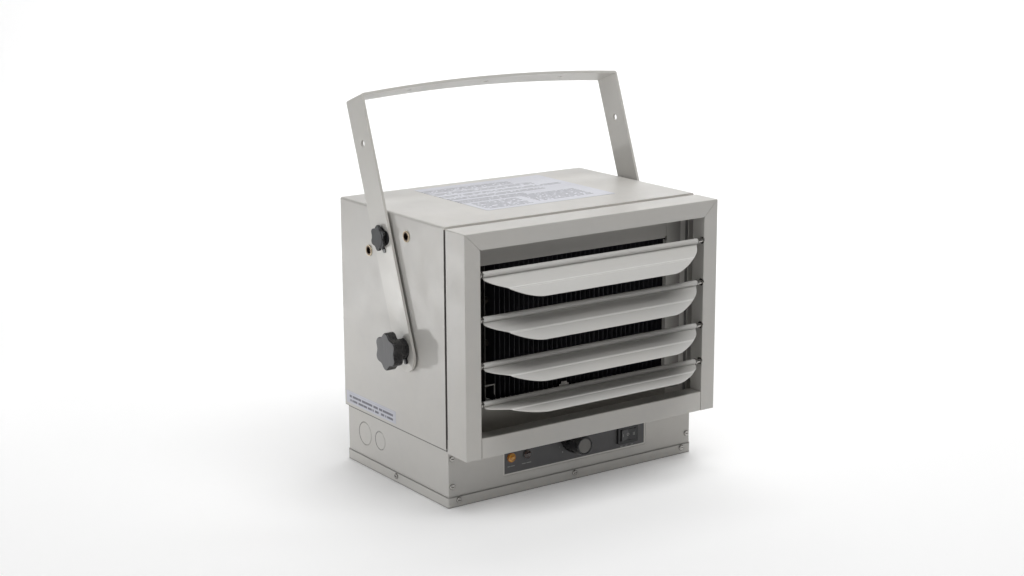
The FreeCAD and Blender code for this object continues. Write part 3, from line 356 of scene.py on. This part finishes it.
def rocker_film(name):
    """Black paddle with three small generic marks: one bar, a ring, two bars."""
    k = Mat(name)
    a = Area(k)
    base, light = lin((38, 38, 40)), lin((52, 52, 54))
    body = k.mix(k.range(k.noise(50.0, 4.0, 0.6), 0.35, 0.7, 0.0, 1.0), base, light)
    cz = 0.0405
    one = a.box(a.x, 0.0703, 0.0711, a.z, cz - 0.0019, cz + 0.0019)
    ring = a.hoop(a.x, 0.0785, a.z, cz, 0.0010, 0.0018)
    two = a.either(a.box(a.x, 0.0852, 0.0860, a.z, cz - 0.0019, cz + 0.0019), a.box(a.x, 0.0868, 0.0876, a.z, cz - 0.0019, cz + 0.0019))
    ink = a.both(a.either(one, ring, two), a.below(a.y, -0.109))
    k.set(Base_Color=k.mix(ink, body, lin((132, 131, 129))), Roughness=k.range(k.noise(100.0, 4.0), 0.3, 0.7, 0.3, 0.42))
    k.set(IOR=1.49)
    k.bump(k.noise(1500.0, 2.0, 0.6), 0.04, 0.0002)
    return k.m


def lens(name, rgb, deep, cx, cz, r_dome):
    """Faceted tinted lens in its bezel ring: a deeper ring round the dome and a paler middle."""
    k = Mat(name)
    a = Area(k)
    w = a.away(a.x, cx, a.z, cz)
    base = lin(rgb)
    cells = k.t.nodes.new("ShaderNodeTexVoronoi")
    cells.inputs["Scale"].default_value = 900.0
    k.link(k.coord, cells.inputs["Vector"])
    col = k.mix(k.range(cells.outputs["Distance"], 0.1, 0.6, 0.0, 0.55), base, lin(deep))
    col = k.mix(a.both(a.above(w, r_dome * 0.42, 0.0003), a.below(w, r_dome * 0.62, 0.0003)), col, lin(deep))
    col = k.mix(a.above(w, r_dome * 0.94, 0.00015), col, lin(deep))
    k.set(Base_Color=col, Roughness=k.range(k.noise(200.0, 3.0), 0.3, 0.7, 0.10, 0.2))
    k.set(Subsurface_Weight=0.25, Coat_Weight=0.6, Coat_Roughness=0.06)
    k.bsdf.inputs["Subsurface Radius"].default_value = (0.004, 0.002, 0.001)
    return k.m


def insert_brass(name):
    """Threaded insert: pale plated flange, brown bore edge, and a dark middle over the thread that is painted shade of
    the bore.
    """
    k = Mat(name)
    a = Area(k)
    w = None
    for cy, cz in INSERTS:
        q = a.away(a.y, cy, a.z, cz)
        w = q if w is None else k.math("MINIMUM", w, q)
    n1 = k.noise(9.0, 4.0, 0.65, k.stretch(80.0, 8.0, 8.0))
    rim = k.mix(k.range(n1, 0.3, 0.7, 0.0, 1.0), lin((196, 184, 160)), lin((176, 160, 132)))
    col = k.mix(a.below(w, 0.00565, 0.0004), rim, lin((96, 72, 46)))
    # painted shade of the bore: the dark middle
    col = k.mix(a.below(w, 0.0044, 0.0003), col, lin((44, 34, 26)))
    k.set(Base_Color=col, Roughness=k.range(n1, 0.3, 0.7, 0.4, 0.55), Metallic=0.35)
    k.bump(k.noise(700.0, 3.0), 0.05, 0.0002)
    return k.m


def sooty(name):
    """Blackened steel end plates of the element."""
    return metal(name, (74, 72, 70), 0.5, (10.0, 10.0, 10.0), 0.05, 0.3)


def wall_shade(a, col):
    """Painted shadow line in the seam between the case and the outlet frame, painted shade at the foot of the walls, a
    painted light strip along the top seam, and painted shade within the outlet that deepens towards its side walls.
    """
    k = a.k
    # painted shadow line in the side seams between case and outlet frame
    painted_joint_shadow = a.both(a.above(a.y, -0.1146), a.below(a.y, -0.1088), a.above(k.math("ABSOLUTE", a.x), 0.1650), a.above(a.z, 0.0700), a.below(a.z, 0.3190))
    col = k.mix(k.math("MULTIPLY", painted_joint_shadow, 0.72), col, lin((40, 38, 36)))
    # painted shade along the bottom edge of the side walls
    painted_hem_shade = a.both(a.below(a.z, 0.0683, 0.0001), a.above(k.math("ABSOLUTE", a.x), 0.1740))
    col = k.mix(k.math("MULTIPLY", painted_hem_shade, 0.6), col, lin((70, 67, 62)))
    # painted light: lifts the shaded top seam between case and frame to a pale colour
    painted_seam_light = a.both(a.above(a.y, -0.1146), a.below(a.y, -0.1088), a.above(a.z, 0.3190))
    col = k.mix(painted_seam_light, col, lin((240, 236, 229)))
    # painted shade within the outlet, deeper towards its side walls
    painted_shade_inside = a.both(a.below(k.math("ABSOLUTE", a.x), 0.1575), a.above(a.y, -0.1500), a.above(a.z, 0.0870), a.below(a.z, 0.3005))
    dim = k.range(k.math("ABSOLUTE", a.x), 0.1370, 0.1575, 0.24, 0.62)
    return k.mix(k.math("MULTIPLY", painted_shade_inside, dim), col, lin((60, 57, 52)))


def rail_shade(a, col):
    """Painted shade on the rail's upward top face within the outlet, where the louvres shade it."""
    k = a.k
    up = k.range(a.nz, 0.85, 0.95, 0.0, 1.0)
    # painted shade on the rail's top face
    painted_shade_inside = a.both(up, a.above(a.y, -0.1500), a.above(a.z, 0.0850))
    return k.mix(k.math("MULTIPLY", painted_shade_inside, 0.55), col, lin((52, 49, 45)))


def frame_shade(a, col):
    """Painted shade on the faces of the outlet frame within the opening; a painted shadow line in the seam behind the
    frame.
    """
    k = a.k
    # painted shade on the faces of the frame within the outlet opening
    painted_shade_inner = a.both(a.below(k.math("ABSOLUTE", a.x), 0.1585), a.above(a.y, -0.1505), a.below(a.z, 0.3017), a.above(a.z, 0.0870))
    col = k.mix(k.math("MULTIPLY", painted_shade_inner, 0.16), col, lin((60, 57, 52)))
    # painted shadow line in the seam behind the frame
    back = a.both(a.above(a.y, -0.11435), a.above(a.z, 0.0700), a.below(a.z, 0.3180))
    return k.mix(k.math("MULTIPLY", back, 0.72), col, lin((40, 38, 36)))


def foot_shade(a, col):
    """Painted shade in the step where the panel and the box drop into the base tray, and along the bottom edge of the
    tray.
    """
    k = a.k
    # painted shade at the step on top of the tray and along its bottom edge
    top = a.above(a.z, BASE_TOP - 0.0009, 0.0002)
    low = a.below(a.z, 0.0009, 0.0003)
    return k.mix(k.math("MULTIPLY", a.either(top, low), 0.55), col, lin((48, 46, 43)))


def box_shade(a, col):
    """Shadow under the lower edge of the case wall and in the grooves of the knockouts."""
    k = a.k
    wall = a.above(k.math("ABSOLUTE", a.x), 0.1740)
    # painted shadow under the lower edge of the case wall
    seam = a.both(wall, a.above(a.z, 0.0658, 0.0002), a.below(a.z, 0.0690, 0.0001))
    rings = []
    for cy, cz, r in KNOCKOUTS:
        ring = a.hoop(a.y, cy, a.z, cz, r - 0.0007, r + 0.0007)
        rings.append(k.math("MULTIPLY", ring, k.range(a.y, cy - r * 0.4, cy + r * 0.7, 0.25, 1.0)))
    # ink here is painted shade in the knockout grooves, stronger towards their rear side, not print
    ink = k.math("MULTIPLY", a.either(*rings), a.below(a.x, -0.1740))
    col = k.mix(k.math("MULTIPLY", ink, 0.6), col, lin((70, 67, 62)))
    return k.mix(k.math("MULTIPLY", seam, 0.9), col, lin((44, 42, 39)))


def blade_paint(name, z0, deg):
    """Louvre paint with a painted highlight: a thin bright line along the pressed fold."""

    def painted_crease_highlight(a, col):
        k = a.k
        t = math.radians(deg)
        u = k.math("ADD", k.math("MULTIPLY", k.math("SUBTRACT", a.y, -0.1488), -math.cos(t)), k.math("MULTIPLY", k.math("SUBTRACT", a.z, z0), -math.sin(t)))
        # painted highlight along the pressed fold
        line = a.both(a.above(u, 0.0238, 0.0003), a.below(u, 0.0262, 0.0003))
        return k.mix(k.math("MULTIPLY", line, 0.5), col, lin((236, 235, 232)))

    return powder(name, (199, 198, 195), rough=0.36, bump=0.035, dirt=0.04, shade=painted_crease_highlight)


TILT_REST, TILT_STEP, TILT_RADIUS = 20.0, 20.0, 0.1289
BASE_TOP = 0.0121
KNOCKOUTS = ((0.07215, 0.0405, 0.0141), (0.03755, 0.0405, 0.0111))
INSERTS = []
for n in (-1, 0, 1):
    t = math.radians(TILT_REST + n * TILT_STEP)
    INSERTS.append((-0.03275 + TILT_RADIUS * math.sin(t), 0.170 + TILT_RADIUS * math.cos(t)))
INSERTS.append((-0.03275, 0.170))

M = {}
PAINT = (190, 188, 184)
M["case"] = powder("powder_coat_case", PAINT, shade=wall_shade)
M["plain"] = powder("powder_coat_plain", PAINT)
M["box"] = powder("powder_coat_box", PAINT, shade=box_shade)
M["frame"] = powder("powder_coat_frame", PAINT, shade=frame_shade)
M["rail"] = powder("powder_coat_rail", PAINT, shade=rail_shade)
M["base"] = powder("powder_coat_base", PAINT, shade=foot_shade)
M["floor"] = powder("powder_coat_duct", (150, 147, 141), rough=0.5, dirt=0.12)
for n, (z0, deg) in enumerate(((0.2734, 34.5), (0.2232, 31.5), (0.1711, 21.5), (0.1270, 7.0))):
    M["blade_%d" % (n + 1)] = blade_paint("powder_coat_louvre_%d" % (n + 1), z0, deg)
M["strap"] = powder("powder_coat_strap", (197, 195, 190), rough=0.40)
M["knob"] = knob_grip("knob_moulding", way=0)
M["lock"] = knob_grip("lock_knob_moulding", (30, 30, 31), (64, 65, 67), way=0)
M["dial"] = knob_grip("dial_moulding", (26, 26, 27), (108, 106, 103), "ny", -1.0, lambda a: a.disc(a.x, -0.0042, a.z, 0.048, 0.0084, 0.0003))
M["black"] = plastic("black_moulding", (30, 30, 32), 0.38)
M["paddle"] = rocker_film("rocker_moulding")
M["fascia"] = fascia_film("fascia_film")
M["fin"] = powder("fin_black", (38, 38, 43), rough=0.5, dirt=0.2, bump=0.03)
M["sheath"] = metal("element_sheath", (96, 88, 82), 0.5, (60.0, 6.0, 6.0))
M["zinc"] = metal("bright_zinc", (176, 174, 170), 0.22, (20.0, 20.0, 20.0))
M["brass"] = metal("turned_brass", (206, 172, 112), 0.3, (80.0, 8.0, 8.0))
M["insert"] = insert_brass("insert_brass")
M["alu"] = metal("pressed_aluminium", (200, 202, 205), 0.34, (12.0, 12.0, 12.0))
M["galv"] = galvanised("galvanised_sheet")
M["clip"] = metal("clip_steel", (120, 118, 114), 0.42, (12.0, 12.0, 12.0))
M["endplate"] = sooty("element_end_plate")
M["motor"] = powder("motor_enamel", (38, 38, 40), rough=0.35)
M["wire"] = powder("guard_coat", (182, 180, 175), rough=0.4)
M["phenolic"] = plastic("phenolic", (34, 32, 31), 0.3)
M["ceramic"] = plastic("ceramic_insulator", (222, 216, 202), 0.5, spread=0.05)
M["label"] = label_film("label_film")
M["amber"] = lens("amber_lens", (222, 164, 48), (150, 92, 14), -0.0894, 0.0432, 0.0049)
M["dark"] = lens("dark_lens", (72, 46, 38), (26, 19, 17), -0.0675, 0.0432, 0.0049)

USE = {
    "case": ["housing_wrap"],
    "plain": ["control_panel", "rear_panel"],
    "box": ["lower_box"],
    "frame": ["front_bezel"],
    "rail": ["bezel_bottom_rail"],
    "base": ["base_cover"],
    "floor": ["divider_plate"],
    "strap": ["mounting_bracket"],
    "blade_1": ["louvre_1"],
    "blade_2": ["louvre_2"],
    "blade_3": ["louvre_3"],
    "blade_4": ["louvre_4"],
    "knob": ["pivot_knob_left", "pivot_knob_right"],
    "lock": ["lock_knob_left", "lock_knob_right"],
    "dial": ["thermostat_knob"],
    "black": ["knob_washers", "pivot_spacers", "rocker_frame", "lamp_bodies"],
    "paddle": ["rocker_paddle"],
    "fascia": ["control_fascia"],
    "fin": ["element_fins"],
    "sheath": ["element_rods"],
    "zinc": ["bezel_screws", "bezel_spacers", "case_screws", "guard_screws", "motor_screws", "thermostat_nut", "thermostat_shaft", "element_terminals", "fan_shaft", "fan_nut", "louvre_pins",
             "louvre_friction_clips", "pivot_stud_left", "pivot_stud_right", "lock_stud_left", "lock_stud_right"],
    "insert": ["threaded_inserts"],
    "brass": ["terminal_screws"],
    "alu": ["fan_blade"],
    "galv": ["motor_bracket", "limit_thermostat"],
    "clip": ["element_clip"],
    "endplate": ["element_brackets"],
    "motor": ["fan_motor"],
    "wire": ["rear_guard"],
    "phenolic": ["terminal_block", "contactor", "fan_delay_switch", "thermostat_body"],
    "ceramic": ["element_insulators"],
    "label": ["blank_labels"],
    "amber": ["power_lamp"],
    "dark": ["caution_lamp"],
}


def dress(o, mat):
    o.data.materials.clear()
    o.data.materials.append(mat)


for key, names in USE.items():
    for n in names:
        dress(NODES[n], M[key])

# ------------------------------------------------------------------ floor, backdrop and light
fl = bpy.data.materials.new("studio_floor")
fl.use_nodes = True
fb = fl.node_tree.nodes["Principled BSDF"]
fb.inputs["Base Color"].default_value = (0.88, 0.88, 0.88, 1)
fb.inputs["Roughness"].default_value = 0.9
fb.inputs["Emission Color"].default_value = (1, 1, 1, 1)
fb.inputs["Emission Strength"].default_value = 0.10
mesh = bpy.data.meshes.new("studio_sweep")
prof = [(-6.0, 0.0)]
R, YW = 1.6, 4.0
prof += [(YW - R + R * math.sin(a), R - R * math.cos(a)) for a in [math.radians(90) * i / 16 for i in range(17)]]
prof += [(YW, 7.0)]
vs, fs = [], []
for y, z in prof:
    for x in (-9.0, 9.0):
        vs.append((x, y, z))
for i in range(len(prof) - 1):
    a = 2 * i
    fs.append((a, a + 1, a + 3, a + 2))
mesh.from_pydata(vs, [], fs)
for p in mesh.polygons:
    p.use_smooth = True
sweep = bpy.data.objects.new("studio_sweep", mesh)
sweep.rotation_euler = (0, 0, -YAW)
sweep.location = (0, 0, -0.0004)
mesh.materials.append(fl)
scene.collection.objects.link(sweep)

world = bpy.data.worlds.new("studio")
world.use_nodes = True
world.node_tree.nodes["Background"].inputs["Color"].default_value = (1, 1, 1, 1)
world.node_tree.nodes["Background"].inputs["Strength"].default_value = 0.14
scene.world = world


def area(name, loc, target, size, power, color=(1, 1, 1)):
    ld = bpy.data.lights.new(name, "AREA")
    ld.shape = "RECTANGLE"
    ld.size, ld.size_y = size
    ld.energy = power
    ld.color = color
    o = bpy.data.objects.new(name, ld)
    o.location = loc
    dirv = Vector(target) - Vector(loc)
    o.rotation_euler = dirv.to_track_quat("-Z", "Y").to_euler()
    scene.collection.objects.link(o)
    return o


area("over", (0.1, -0.9, 2.9), (0, 0, 0.2), (2.2, 2.2), 62)
area("low", (-0.78, 0.77, 0.024), (-0.19, -0.03, 0.17), (0.046, 0.046), 1.45)
area("backdrop", (1.0, 1.2, 3.2), (2.2, 3.4, 1.2), (2.0, 2.0), 95)
area("left", (-2.6, -0.4, 0.4), (0, 0, 0.1), (1.4, 1.4), 14.5)
